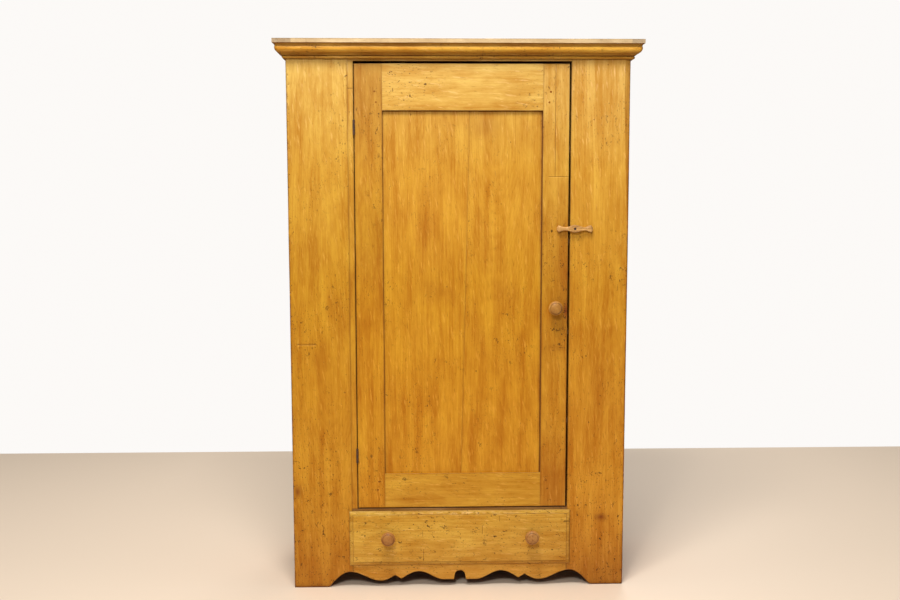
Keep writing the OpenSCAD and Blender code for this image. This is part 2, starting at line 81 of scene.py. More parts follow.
def stops(low, high, step, near, extra=()):
    """Places from low to high: one every step, some close to both ends, and the extra ones."""
    count = max(2, int(round((high - low) / step)))
    places = np.concatenate([np.linspace(low, high, count + 1), low + near, high - near,
                             np.asarray(extra, float)])
    places = np.unique(np.clip(places, low, high))
    kept = [places[0]]
    for p in places[1:]:
        if p - kept[-1] > 0.14 * MM:
            kept.append(p)
    kept[-1] = high
    return np.array(kept)


# ------------ meshes

def outward(verts, faces):
    """The faces, turned so that they look out of the closed form."""
    centred = verts - verts.mean(axis=0)
    corner = [centred[faces[:, k]] for k in range(4)]
    volume = (np.einsum("ij,ij->i", corner[0], np.cross(corner[1], corner[2])).sum()
              + np.einsum("ij,ij->i", corner[0], np.cross(corner[2], corner[3])).sum())
    return faces[:, ::-1] if volume < 0 else faces


class Form:
    """Vertices, faces and painted values of one piece, gathered from one or more closed forms."""

    def __init__(self):
        self.verts, self.faces, self.values, self.count = [], [], {}, 0

    def add(self, verts, faces, ngons=(), **values):
        self.faces += (faces + self.count).tolist()
        self.faces += [[k + self.count for k in n] for n in ngons]
        self.verts.append(verts)
        self.count += len(verts)
        for name, value in values.items():
            self.values.setdefault(name, []).append(value)

    def piece(self, name, material, body, slot, *nodes):
        """Makes the object, which rides on a body and stands for CAD nodes."""
        mesh = bpy.data.meshes.new(name)
        mesh.from_pydata(np.concatenate(self.verts).tolist(), [], self.faces)
        kinds = {1: ("FLOAT", "value"), 3: ("FLOAT_VECTOR", "vector")}
        for key, parts in self.values.items():
            value = np.concatenate(parts).astype(np.float32)
            kind, field = kinds[1 if value.ndim == 1 else 3]
            mesh.attributes.new(key, kind, "POINT").data.foreach_set(field, value.ravel())
        mesh.polygons.foreach_set("use_smooth", [True] * len(mesh.polygons))
        mesh.materials.append(material)
        obj = bpy.data.objects.new(name + "_wood", mesh)
        bpy.context.scene.collection.objects.link(obj)
        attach(obj, body)
        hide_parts(*nodes)
        return obj


NEAR_EDGE = np.array([0.25, 0.6, 1.1, 1.8, 2.8, 4.2, 6.5, 9.5]) * MM


def bruises(count, low_a, high_a, low_b, high_b, seed, largest=2.2 * MM):
    """Small dark knocks, as marks scattered over part of a board, none wider than the largest."""
    local = np.random.default_rng(seed)
    out = []
    for _ in range(count):
        a, b = local.uniform(low_a, high_a), local.uniform(low_b, high_b)
        wide, tall = local.uniform(0.3 * largest, largest, 2)
        out.append((a, a + wide, b, b + tall, local.uniform(0.2, 0.6) * MM))
    return out


class Board:
    """A sawn and planed board: a closed grid with worn arrises, dents and its own grain.

    face is the side that shows, and along is the way the grain runs. The face lies in directions a
    and b, which keep the order x, y, z. step is the grid's spacing across and along the grain, to
    which lines and near add. arris is the rounding at low a, high a, low b and high b. limits and
    a_limits bend the outline, relief carves the face, and marks are scars in it.
    """

    def __init__(self, low, high, face="-y", along="z", step=(3.5 * MM, 8 * MM), arris=1.0 * MM,
                 back_arris=0.6 * MM, limits=None, relief=None, lines=((), ()), near=NEAR_EDGE,
                 dents=90, rough=1.0, tone=(1, 1, 1), paint=None, grime=0.5, pith=None,
                 a_limits=None, wear=0.0, marks=(), dirt=None, back_grime=0.1):
        self.low, self.high = np.array(low, float), np.array(high, float)
        self.depth_axis, self.sign = AXES[face[1]], 1 if face[0] == "+" else -1
        self.a_axis, self.b_axis = [k for k in range(3) if k != self.depth_axis]
        self.along = AXES[along]
        self.step, self.near, self.lines = step, near, lines
        self.arris = np.broadcast_to(np.array(arris, float), 4)
        self.back_arris, self.limits, self.relief = back_arris, limits, relief
        self.a_limits, self.wear, self.marks = a_limits, wear, marks
        self.dirt = dirt
        self.dents, self.rough, self.tone, self.paint = dents, rough, tone, paint
        self.grime, self.back_grime = grime, back_grime
        self.seed = int(rng.integers(1, 1 << 20))
        self.pith = rng.uniform(-0.3, 0.3) if pith is None else pith

    def grid(self):
        a_step, b_step = self.step if self.along == self.b_axis else self.step[::-1]
        la, ha = self.low[self.a_axis], self.high[self.a_axis]
        lb, hb = self.low[self.b_axis], self.high[self.b_axis]
        soft = 0.5 * MM
        more_a = [p for m in self.marks for p in (m[0] - soft, m[0], m[1], m[1] + soft)]
        more_b = [p for m in self.marks for p in (m[2] - soft, m[2], m[3], m[3] + soft)]
        a = stops(la, ha, a_step, self.near, [*self.lines[0], *more_a])
        b = stops(lb, hb, b_step, self.near, [*self.lines[1], *more_b])
        aa, bb = np.meshgrid(a, b, indexing="ij")
        reach = [aa - la, ha - aa, bb - lb, hb - bb]
        return aa, bb, reach

    def dent_field(self, aa, bb):
        """Small rounded bruises, scattered at random."""
        depth = np.zeros_like(aa)
        local = np.random.default_rng(self.seed)
        area = (aa.max() - aa.min()) * (bb.max() - bb.min())
        for _ in range(int(self.dents * area)):
            ca, cb = local.uniform(aa.min(), aa.max()), local.uniform(bb.min(), bb.max())
            radius = local.uniform(2.5, 8) * MM
            deep = local.uniform(0.1, 0.55) * MM
            i0, i1 = np.searchsorted(aa[:, 0], [ca - 3 * radius, ca + 3 * radius])
            j0, j1 = np.searchsorted(bb[0], [cb - 3 * radius, cb + 3 * radius])
            near = (aa[i0:i1, j0:j1] - ca) ** 2 + (bb[i0:i1, j0:j1] - cb) ** 2
            depth[i0:i1, j0:j1] += deep * np.exp(-near / radius**2)
        return depth

    def scars(self, aa, bb):
        """Scratches, nail holes and splits: boxes of a0, a1, b0, b1 and a depth."""
        soft = 0.5 * MM
        deep = np.zeros_like(aa)
        for a0, a1, b0, b1, depth in self.marks:
            wide = smooth(aa, a0 - soft, a0) * (1 - smooth(aa, a1, a1 + soft))
            tall = smooth(bb, b0 - soft, b0) * (1 - smooth(bb, b1, b1 + soft))
            deep = np.maximum(deep, depth * wide * tall)
        return deep

    def round_off(self, reach, radii, aa, bb, worn):
        """How far an arris of these radii falls back at each point of a face."""
        drop = np.zeros_like(aa)
        for k in range(4):
            along = bb if k < 2 else aa
            r = radii[k] * (1 + worn * 0.55 * noise(along / 0.07, along * 0 + k, self.seed + k))
            inside = np.clip(r - reach[k], 0, None)
            drop = np.maximum(drop, r - np.sqrt(np.clip(r * r - inside * inside, 0, None)))
        return drop

    def add_to(self, form):
        aa, bb, reach = self.grid()
        m, n = aa.shape
        thick = self.high[self.depth_axis] - self.low[self.depth_axis]
        across, along = (aa, bb) if self.along == self.b_axis else (bb, aa)
        uneven = (0.22 * MM * noise(across / 0.06, along / 0.4, self.seed)
                  + 0.09 * MM * noise(across / 0.011, along / 0.16, self.seed + 7))
        front = 0.32 * MM + self.rough * uneven + self.dent_field(aa, bb)
        front += self.round_off(reach, self.arris, aa, bb, 1.0)
        scars = self.scars(aa, bb)
        front = np.maximum(front + scars, 0.03 * MM)
        if self.relief is not None:
            front += self.relief(aa, bb, reach)
        back = thick - self.round_off(reach, [self.back_arris] * 4, aa, bb, 0.5)
        if self.limits is not None:
            low_b, high_b = self.limits(aa)
            share = (bb - bb[:, :1]) / (bb[:, -1:] - bb[:, :1])
            bb = low_b + share * (high_b - low_b)
        if self.a_limits is not None:
            low_a, high_a = self.a_limits(bb)
            share = (aa - aa[:1]) / (aa[-1:] - aa[:1])
            aa = low_a + share * (high_a - low_a)
        rim = ([(i, 0) for i in range(m)] + [(m - 1, j) for j in range(1, n)]
               + [(i, n - 1) for i in range(m - 2, -1, -1)] + [(0, j) for j in range(n - 2, 0, -1)])
        ri, rj = np.array(rim).T
        layers = [(aa.ravel(), bb.ravel(), front.ravel()), (aa.ravel(), bb.ravel(), back.ravel())]
        for share in (0.08, 0.92):
            between = front[ri, rj] * (1 - share) + back[ri, rj] * share
            layers.append((aa[ri, rj], bb[ri, rj], between))
        a, b, w = (np.concatenate([layer[k] for layer in layers]) for k in range(3))
        verts = np.empty((len(a), 3))
        verts[:, self.a_axis], verts[:, self.b_axis] = a, b
        start = self.high[self.depth_axis] if self.sign > 0 else self.low[self.depth_axis]
        verts[:, self.depth_axis] = start - self.sign * w
        index = np.arange(m * n).reshape(m, n)
        quads = np.stack([index[:-1, :-1], index[1:, :-1], index[1:, 1:], index[:-1, 1:]], -1)
        quads = quads.reshape(-1, 4)
        size = len(rim)
        rows = [index[ri, rj], 2 * m * n + np.arange(size), 2 * m * n + size + np.arange(size),
                m * n + index[ri, rj]]
        sides = [np.stack([p, q, np.roll(q, -1), np.roll(p, -1)], -1) for p, q in zip(rows, rows[1:])]
        faces = np.concatenate([quads[:, ::-1], quads + m * n] + sides)
        edge = np.minimum.reduce(reach)
        # dark along every board's edges and joints
        front_grime_and_shade = self.grime * np.exp(-edge / (2.2 * MM))
        # extra dark lines per board: dirt at the feet, painted shade along the panel's top and in the
        # drawer's step
        if self.dirt is not None:
            front_grime_and_shade = front_grime_and_shade + self.dirt(aa, bb, reach)
        grime = np.concatenate([front_grime_and_shade.ravel(), front_grime_and_shade.ravel() + self.back_grime,
                                np.full(2 * size, 0.75 * self.grime)])
        mark = np.zeros(len(verts))
        mark[:m * n] = np.clip(scars.ravel() / (0.6 * MM), 0, 1)
        wear = self.wear(verts) if callable(self.wear) else np.full(len(verts), float(self.wear))
        form.add(verts, outward(verts, faces), grain=self.grain(verts, w), grime=grime,
                 tint=self.tint(verts), mark=mark, wear=wear)

    def grain(self, verts, w):
        """Across, along and into the board, moved so that no two boards are alike."""
        across = self.a_axis if self.along == self.b_axis else self.b_axis
        middle = (self.low[across] + self.high[across]) / 2
        width = self.high[across] - self.low[across]
        local = np.random.default_rng(self.seed + 1)
        out = np.empty((len(verts), 3))
        out[:, 0] = verts[:, across] - middle + self.pith * width
        out[:, 1] = verts[:, self.along] + local.uniform(0, 60)
        out[:, 2] = w
        return out

    def tint(self, verts):
        tint = np.tile(np.array(self.tone, float), (len(verts), 1))
        return tint if self.paint is None else tint * self.paint(verts)


def board(name, material, body, slot, low, high, **looks):
    """One board as a piece of its own."""
    form = Form()
    Board(low, high, **looks).add_to(form)
    return form.piece(name, material, body, slot, name)


def loft(form, rings, grain, tint=(1, 1, 1), grime=0.2, wear=0.2):
    """A skin over rings of points, with its ends filled."""
    count, size = rings.shape[:2]
    verts = rings.reshape(-1, 3)
    index = np.arange(count * size).reshape(count, size)
    nxt = np.roll(index, -1, axis=1)
    faces = np.stack([index[:-1], index[1:], nxt[1:], nxt[:-1]], -1).reshape(-1, 4)
    turned = outward(verts, faces)
    flipped = not np.array_equal(turned, faces)
    ends = [index[0].tolist(), index[-1][::-1].tolist()]
    if flipped:
        ends = [e[::-1] for e in ends]
    total = len(verts)
    form.add(verts, turned, ends, grain=grain(verts),
             tint=np.broadcast_to(np.array(tint, float), (total, 3)).copy(),
             grime=np.broadcast_to(np.array(grime, float), total).copy(),
             mark=np.zeros(total), wear=np.full(total, wear))


# ------------ materials

# A Mix node's sockets for colour
MIX_A, MIX_B, MIX_RESULT = 6, 7, 2
# The brown of dirt and of painted shade
GRIME_AND_SHADE_BROWN = (0.10, 0.026, 0.005)
HOLE_BROWN = (0.045, 0.013, 0.003)


class Nodes:
    """A short way to write a material's nodes."""

    def __init__(self, name):
        self.material = bpy.data.materials.new(name)
        self.material.use_nodes = True
        self.tree = self.material.node_tree
        self.shader = self.tree.nodes["Principled BSDF"]

    def put(self, value, socket):
        if isinstance(value, bpy.types.NodeSocket):
            self.tree.links.new(value, socket)
        elif isinstance(value, tuple) and len(value) == 3 and socket.type == "RGBA":
            socket.default_value = (*value, 1)
        else:
            socket.default_value = value

    def set(self, **values):
        for name, value in values.items():
            self.put(value, self.shader.inputs[name.replace("_", " ")])

    def node(self, kind, *values):
        """A new node, with its first inputs linked to these sockets or set to these values."""
        node = self.tree.nodes.new("ShaderNode" + kind)
        for value, socket in zip(values, node.inputs):
            self.put(value, socket)
        return node

    def attribute(self, name, out="Vector"):
        node = self.node("Attribute")
        node.attribute_name = name
        return node.outputs[out]

    def math(self, operation, a, b=0.0, clamp=False):
        node = self.node("Math", a, b)
        node.operation, node.use_clamp = operation, clamp
        return node.outputs[0]

    def plus(self, a, b):
        return self.math("ADD", a, b)

    def times(self, a, b):
        return self.math("MULTIPLY", a, b)

    def stretch(self, vector, by):
        node = self.node("VectorMath", vector, by)
        node.operation = "MULTIPLY"
        return node.outputs[0]

    def noise(self, vector, by, detail=3.0, roughness=0.55, out="Fac"):
        """Noise of this many features to the metre across, along and into the wood."""
        node = self.node("TexNoise", self.stretch(vector, by))
        self.put(1.0, node.inputs["Scale"])
        self.put(detail, node.inputs["Detail"])
        self.put(roughness, node.inputs["Roughness"])
        return node.outputs[out]

    def cells(self, vector, by, out="Distance"):
        """Distance to the nearest of many scattered points, or that point's random colour."""
        node = self.node("TexVoronoi", self.stretch(vector, by))
        self.put(1.0, node.inputs["Scale"])
        return node.outputs[out]

    def ramp(self, value, low, high, to_low=0.0, to_high=1.0):
        """A soft step from to_low to to_high as value goes from low to high."""
        node = self.node("MapRange", value, low, high, to_low, to_high)
        node.interpolation_type = "SMOOTHSTEP"
        return node.outputs[0]

    def mix(self, share, a, b, blend="MIX"):
        node = self.node("Mix", share)
        node.data_type, node.blend_type = "RGBA", blend
        self.put(a, node.inputs[MIX_A])
        self.put(b, node.inputs[MIX_B])
        return node.outputs[MIX_RESULT]

    def part(self, vector, axis):
        return self.node("SeparateXYZ", vector).outputs[AXES[axis]]

    def lean(self, vector, slope):
        """The grain's own directions, with the figure leaning a little across them."""
        x, y, z = (self.part(vector, axis) for axis in "xyz")
        return self.node("CombineXYZ", self.plus(x, self.times(y, slope)), y, z).outputs[0]

    def strew(self, vector, by, reach):
        """The vector, shifted about at random by up to this reach, so that no row of cells shows."""
        node = self.node("VectorMath", self.noise(vector, by, 2.0, out="Color"), reach, vector)
        node.operation = "MULTIPLY_ADD"
        return node.outputs[0]

    def bump(self, height, distance, strength=1.0):
        node = self.node("Bump")
        self.put(height, node.inputs["Height"])
        node.inputs["Distance"].default_value = distance
        node.inputs["Strength"].default_value = strength
        self.put(node.outputs[0], self.shader.inputs["Normal"])


def pine(name, pale, deep, knot, roughness=0.45, gloss=0.25, figure=1.0, specks=1.0):
    """Old pine: faint growth rings, flames and streaks along the grain, mottling, knots and holes."""
    t = Nodes(name)
    grain = t.attribute("grain")
    wear = t.attribute("wear", "Fac")
    # faint growth rings round a wandering pith
    wander = t.times(t.plus(t.noise(grain, (5, 1.3, 5)), -0.5), 0.09)
    pith = t.ramp(t.noise(grain, (0, 0.4, 0), 2.0), 0.2, 0.8, 0.05, 0.2)
    across = t.plus(t.part(grain, "x"), wander)
    inward = t.plus(t.part(grain, "z"), pith)
    radius = t.math("SQRT", t.plus(t.times(across, across), t.times(inward, inward)))
    shake = t.times(t.noise(grain, (22, 1.1, 22), 3.0), 2.6)
    rings = t.plus(t.times(radius, 170.0), shake)
    ring = t.math("FRACT", rings)
    late_ring = t.times(t.ramp(ring, 0.2, 0.86), t.ramp(ring, 0.9, 1.0, 1.0, 0.0))
    # streaks, short flames and mottling
    streak = t.plus(t.noise(grain, (36, 1.8, 36), 5.0, 0.62), -0.5)
    fine = t.plus(t.noise(grain, (170, 5.5, 170), 4.0, 0.65), -0.5)
    flame = t.plus(t.noise(grain, (25, 4.6, 25), 5.0, 0.64), -0.5)
    mottle = t.noise(grain, (9, 5, 9), 6.0, 0.66)
    share = t.plus(t.times(streak, 1.3 * figure), t.times(fine, 1.0 * figure))
    share = t.plus(share, t.times(flame, 1.65 * figure))
    share = t.plus(share, t.times(t.plus(mottle, -0.5), 1.35 * figure))
    share = t.math("ADD", t.plus(share, t.times(late_ring, 0.12 * figure)), 0.44, clamp=True)
    wood = t.mix(share, pale, deep)
    leaning = t.lean(grain, 0.12)
    light_fleck = t.ramp(t.noise(leaning, (130, 17, 130), 3.0, 0.6), 0.56, 0.72, 0.0, 0.5)
    wood = t.mix(light_fleck, wood, tuple(min(1.0, 1.18 * c + 0.02) for c in pale))
    dark_fleck = t.ramp(t.noise(leaning, (190, 26, 190), 3.0, 0.6), 0.60, 0.72, 0.0, 0.5)
    wood = t.mix(dark_fleck, wood, tuple(0.62 * c for c in deep))
    smudge = t.ramp(t.noise(grain, (4.5, 2.6, 4.5), 5.0, 0.6), 0.52, 0.78, 0.0, 0.45)
    wood = t.mix(smudge, wood, (0.82, 0.66, 0.5), "MULTIPLY")
    # knots, with the wood darker round them
    knot_far = t.cells(grain, (2.1, 1.7, 0))
    knot_kind = t.part(t.cells(grain, (2.1, 1.7, 0), out="Color"), "x")
    knot_size = t.ramp(knot_kind, 0.62, 1.0, 0.0, 0.026)
    knot_edge = t.math("DIVIDE", t.plus(knot_far, t.times(fine, 0.01)), t.plus(knot_size, 0.0005))
    wood = t.mix(t.ramp(knot_edge, 0.8, 3.0, 0.5, 0.0), wood, deep)
    wood = t.mix(t.ramp(knot_edge, 0.5, 1.1, 0.8, 0.0), wood, knot)
    wood = t.mix(1.0, wood, t.attribute("tint", "Color"), "MULTIPLY")
    # pin holes and nicks in clusters, more of them where the wood is worn
    where = t.plus(t.noise(grain, (6, 4, 6), 3.0), t.times(wear, 0.34))
    cluster = t.ramp(where, 0.47, 0.70)
    strewn = t.strew(grain, (45, 30, 45), (0.03, 0.045, 0.0))
    chance = t.part(t.cells(strewn, (62, 40, 0), out="Color"), "y")
    dot_size = t.ramp(chance, 0.45, 1.0, 0.03, 0.17)
    dot = t.ramp(t.math("DIVIDE", t.cells(strewn, (62, 40, 0)), dot_size), 0.6, 1.1, 1.0, 0.0)
    dot = t.times(dot, t.ramp(chance, 0.45, 0.5))
    # short curved nicks
    contour = t.math("ABSOLUTE", t.plus(t.noise(strewn, (75, 42, 0), 2.0), -0.5))
    stroke = t.times(t.ramp(contour, 0.012, 0.035, 1.0, 0.0),
                     t.ramp(t.noise(grain, (52, 34, 0), 2.0), 0.60, 0.66))
    nick = t.ramp(t.noise(grain, (300, 100, 300), 2.0, 0.5), 0.63, 0.70)
    pit = t.ramp(t.cells(grain, (15, 10, 0)), 0.02, 0.045, 1.0, 0.0)
    pit = t.times(pit, t.ramp(t.part(t.cells(grain, (15, 10, 0), out="Color"), "z"), 0.5, 0.55))
    dark = t.plus(t.times(t.plus(t.plus(dot, stroke), t.times(nick, 0.8)), cluster), t.times(pit, 0.8))
    dark = t.times(dark, 0.85 * specks)
    dark = t.math("MAXIMUM", dark, t.attribute("mark", "Fac"))
    # dirt in seams and edges, and painted shade in the crown's hollows, along the panel's top edge, in
    # the drawer's step and under the case; and then the holes
    grime = t.attribute("grime", "Fac")
    rub_and_shade = t.math("MINIMUM", t.times(grime, t.ramp(mottle, 0.25, 0.7, 0.7, 1.3)), 0.93)
    wood = t.mix(rub_and_shade, wood, GRIME_AND_SHADE_BROWN)
    wood = t.mix(t.math("MINIMUM", dark, 0.9), wood, HOLE_BROWN)
    t.set(Base_Color=wood, Specular_IOR_Level=gloss)
    # roughness and relief
    shine = t.plus(t.ramp(mottle, 0.3, 0.75, -0.06, 0.1), t.times(fine, 0.25))
    t.set(Roughness=t.math("ADD", t.plus(shine, roughness), t.times(rub_and_shade, 0.25), clamp=True))
    height = t.plus(t.times(late_ring, 0.10), t.times(fine, 0.5))
    height = t.plus(height, t.times(streak, 0.35))
    t.bump(t.plus(height, t.times(dark, -1.2)), 0.4 * MM, 0.7)
    return t.material


def iron(name):
    """Old iron: dark scale, with patches of rougher brown rust and a pitted surface."""
    t = Nodes(name)
    place = t.node("TexCoord").outputs["Object"]
    rust = t.ramp(t.noise(place, (160, 160, 160), 5.0, 0.65), 0.42, 0.68)
    pits = t.noise(place, (900, 900, 900), 3.0)
    colour = t.mix(rust, (0.045, 0.028, 0.020), (0.13, 0.050, 0.020))
    t.set(Base_Color=colour, Metallic=0.3)
    t.set(Roughness=t.ramp(rust, 0.0, 1.0, 0.48, 0.85))
    t.bump(t.plus(t.times(pits, 0.6), t.times(rust, 0.4)), 0.25 * MM)
    return t.material


def floor_finish():
    t = Nodes("pale_floor")
    t.set(Base_Color=(0.77, 0.62, 0.47), Roughness=0.6)
    return t.material


WOOD = {
    "front": pine("finished_pine", (0.74, 0.355, 0.022), (0.50, 0.175, 0.005), (0.20, 0.05, 0.004),
                  0.42, 0.15),
    "inside": pine("bare_pine", (0.60, 0.42, 0.24), (0.42, 0.25, 0.12), (0.17, 0.08, 0.035),
                   0.7, 0.2, 0.9, 0.6),
    "edge": pine("sawn_pine", (0.80, 0.62, 0.35), (0.64, 0.44, 0.20), (0.30, 0.14, 0.06),
                 0.7, 0.2, 0.7, 0.5),
    "knob": pine("turned_pine", (0.56, 0.27, 0.075), (0.38, 0.155, 0.035), (0.2, 0.07, 0.02),
                 0.42, 0.35, 1.3, 1.0),
    "button": pine("carved_pine", (0.66, 0.36, 0.105), (0.30, 0.13, 0.035), (0.25, 0.1, 0.04),
                   0.5, 0.3, 1.3, 0.9),
}
IRON = iron("old_iron")

# What a piece is made of, the body it rides on, and its slot
CASE = (WOOD["front"], "case", "case_pine")
CAPS = (WOOD["edge"], "case", "case_pine")
INSIDE = (WOOD["inside"], "case", "inside_pine")
DOOR = (WOOD["front"], "door", "door_pine")
DRAWER = (WOOD["front"], "drawer", "drawer_pine")
DRAWER_BOX = (WOOD["inside"], "drawer", "inside_pine")


# ------------ places on the frame

def span(node):
    """Lowest and highest corner of a CAD node."""
    low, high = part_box(node)
    return np.array(low, float), np.array(high, float)


def corners(node):
    """A CAD node's vertices."""
    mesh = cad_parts[node].data
    out = np.empty(len(mesh.vertices) * 3)
    mesh.vertices.foreach_get("co", out)
    return out.reshape(-1, 3)


def outline(nodes, across, keep, lowest):
    """How high the chosen vertices lie, as a function of their place across."""
    points = np.concatenate([corners(n) for n in nodes])
    points = points[keep(points)]
    places = np.unique(np.round(points[:, across], 5))
    pick = np.min if lowest else np.max
    heights = [pick(points[np.abs(points[:, across] - p) < 2e-5][:, 2]) for p in places]
    return lambda a: np.interp(a, places, heights)


CASE_LOW, CASE_HIGH = span("stile_left")[LOW], span("stile_right")[HIGH]
OPEN_LEFT = span("stile_left")[HIGH][0]
OPEN_RIGHT = span("stile_right")[LOW][0]
PANEL_TOP = span("door_rail_top")[LOW][2]
CROWN_Z = span("crown_front")[LOW][2]
PANEL_LEFT = span("door_stile_left")[HIGH][0]
PANEL_RIGHT = span("door_stile_right")[LOW][0]
SEAM = (span("door_panel_right")[LOW][0], span("door_panel_left")[HIGH][0])

scallop = outline(["stile_left", "apron", "stile_right"], 0,
                  lambda p: (np.abs(p[:, 1] - FACE_Y) < 1e-4) & (p[:, 2] < 70 * MM), True)
side_arch = outline(["side_left"], 1,
                    lambda p: (np.abs(p[:, 0] - CASE_LOW[0]) < 1e-4) & (p[:, 2] < 100 * MM), True)

# Painted shade on the back faces of the apron, the support rails and the drawer bottom, to darken the
# space seen under the case
UNDERSIDE_SHADE = 0.85
DRAWER_TONE = (1.1, 1.08, 1.0)

# How the finish looks from the floor up: deeper and redder low down, paler towards the top; partly its
# own ageing, and partly a painted sheen where the lights above would gleam on the upper boards
AGE_AND_SHEEN_Z = (0.05, 0.35, 0.7, 1.1, 1.5, 1.85)
AGE_AND_SHEEN = ((0.76, 0.66, 1.1), (0.90, 0.89, 1.22), (0.86, 0.84, 0.98), (0.83, 0.87, 1.06), (0.88, 1.02, 2.1),
       (0.88, 1.15, 4.4))


# each vertex's tint by height, ageing and painted sheen together
def aged_and_sheen(verts):
    return np.stack([np.interp(verts[:, 2], AGE_AND_SHEEN_Z, [c[k] for c in AGE_AND_SHEEN]) for k in range(3)], -1)


def sheen_and_stains(*spots):
    """The tint by height, with its ageing and painted sheen, and darker or paler spots: each is x, z,
    half width, half height and a colour.
    """
    def paint(verts):
        tint = aged_and_sheen(verts)
        for x, z, wide, tall, colour in spots:
            far = ((verts[:, 0] - x) / wide) ** 2 + ((verts[:, 2] - z) / tall) ** 2
            tint *= 1 + np.exp(-far)[:, None] * (np.array(colour) - 1)
        return tint
    return paint


def planed_wide(z):
    """Width of the worn strip down the right stile's outer corner, which dies out below."""
    return (5 + 16 * smooth(z, 1.25, 1.8)) * MM


def stile_right_paint(verts):
    """A knot, a darker foot, a dull patch, and the planed corner painted darker: bare wood, and painted
    shade on a face turned from the light.
    """
    tint = sheen_and_stains((0.514, 0.252, 0.02, 0.012, (0.5, 0.35, 0.4)),
                   (0.5, 0.03, 0.2, 0.09, (0.84, 0.82, 0.8)),
                   (0.5, 0.72, 0.12, 0.13, (0.92, 0.88, 0.9)))(verts)
    # the planed corner darker: bare wood, and painted shade on a face turned from the light
    edge = CASE_HIGH[0] - planed_wide(verts[:, 2])
    worn = smooth(verts[:, 0], edge, edge + 1.5 * MM)
    return tint * (1 - worn[:, None] * (1 - np.array((0.84, 0.72, 0.5))))


# ------------ case

def filled(name, material, body, slot, **looks):
    """A board as large as its CAD node."""
    return board(name, material, body, slot, *span(name), **looks)


def boards(name, parts, material, body, slot):
    """Several boards as one piece: parts is a list of (low, high, looks)."""
    form = Form()
    for low, high, looks in parts:
        Board(low, high, **looks).add_to(form)
    return form.piece(name, material, body, slot, name)


def corner_planed(aa, bb, reach):
    """The right stile's outer corner, planed off in a long taper that dies out below."""
    return 0.35 * np.clip(planed_wide(bb) - reach[1], 0, None)


def foot_wear(verts):
    """Knocks gather towards the floor."""
    return 0.12 + 0.7 * (1 - smooth(verts[:, 2], 0.05, 0.7))


def foot_dirt(aa, bb, reach):
    """A dark line along the outer arris, and dirt taken up from the floor."""
    outer = np.minimum(aa - CASE_LOW[0], CASE_HIGH[0] - aa)
    patchy = 0.5 + 0.5 * noise(bb / 0.013, aa * 0, 31)
    return 0.95 * patchy * np.exp(-outer / (3.2 * MM)) + 0.9 * np.exp(-bb / (6.0 * MM))


def between_stiles(node):
    """The box of a rail, cut back to the opening between the stiles."""
    low, high = span(node)
    low[0], high[0] = OPEN_LEFT, OPEN_RIGHT
    return low, high


def face_frame():
    foot = {"limits": lambda a: (scallop(a), CASE_HIGH[2]), "wear": foot_wear, "dirt": foot_dirt}
    nails = [(x - MM, x + MM, z - MM, z + MM, 0.9 * MM)
             for x, z in ((-0.5885, 1.822), (-0.588, 1.483), (-0.4406, 1.7515), (-0.585, 0.62))]
    nick = [(-0.572, -0.506, 0.8862, 0.8876, 0.35 * MM)]
    nick += bruises(26, -0.59, -0.39, 0.1, 0.75, 5, 3 * MM)
    nick += bruises(46, -0.5935, -0.587, 0.02, 1.8, 6, 3.4 * MM)
    nick += bruises(34, -0.59, -0.47, 0.006, 0.06, 14, 3.2 * MM)
    low, high = span("stile_left")
    more = np.arange(low[0] + 118 * MM, high[0], 2.2 * MM)
    board("stile_left", *CASE, low, high, lines=(more, ()),
          arris=(2.2 * MM, 0.5 * MM, 1.2 * MM, 0.3 * MM), dents=110, marks=nails + nick,
          tone=(0.96, 0.97, 0.9), paint=sheen_and_stains((-0.578, 0.355, 0.012, 0.02, (0.5, 0.35, 0.4))), **foot)
    low, high = span("stile_right")
    more = np.arange(low[0], high[0] - 110 * MM, 2.2 * MM)
    board("stile_right", *CASE, low, high, lines=(more, ()),
          arris=(1.0 * MM, 1.2 * MM, 1.2 * MM, 0.3 * MM), dents=110, relief=corner_planed,
          marks=bruises(26, 0.395, 0.59, 0.1, 0.7, 7, 3 * MM) + bruises(20, 0.392, 0.398, 0.3, 1.7, 8)
          + bruises(34, 0.47, 0.59, 0.006, 0.06, 15, 3.2 * MM),
          paint=stile_right_paint, tone=(1.02, 1.01, 1.1), **foot)
    low, high = span("hinge_strip")
    board("hinge_strip", WOOD["front"], "case", "drawer_pine", low, high, tone=(0.96, 0.97, 0.95),
          arris=0.6 * MM, dents=40, paint=aged_and_sheen, marks=[(low[0], high[0], 1.7765, 1.7772, 0.4 * MM)])
    board("top_rail", *CASE, *between_stiles("top_rail"), along="x", arris=0.6 * MM, paint=aged_and_sheen)
    board("divider_rail", *CASE, *between_stiles("divider_rail"), along="x",
          arris=(0.4 * MM, 0.4 * MM, 0.6 * MM, 1.6 * MM), tone=(0.5, 0.56, 1.7), paint=aged_and_sheen)
    low, high = between_stiles("apron")
    low[2] = 0.0
    board("apron", *CASE, low, high, along="x", step=(3 * MM, 2.2 * MM),
          arris=(0.5 * MM, 0.5 * MM, 1.3 * MM, 0.6 * MM), tone=(1.22, 1.52, 2.4), paint=aged_and_sheen,
          wear=0.5, grime=0.85, back_grime=UNDERSIDE_SHADE,
          limits=lambda a: (scallop(a), high[2]))


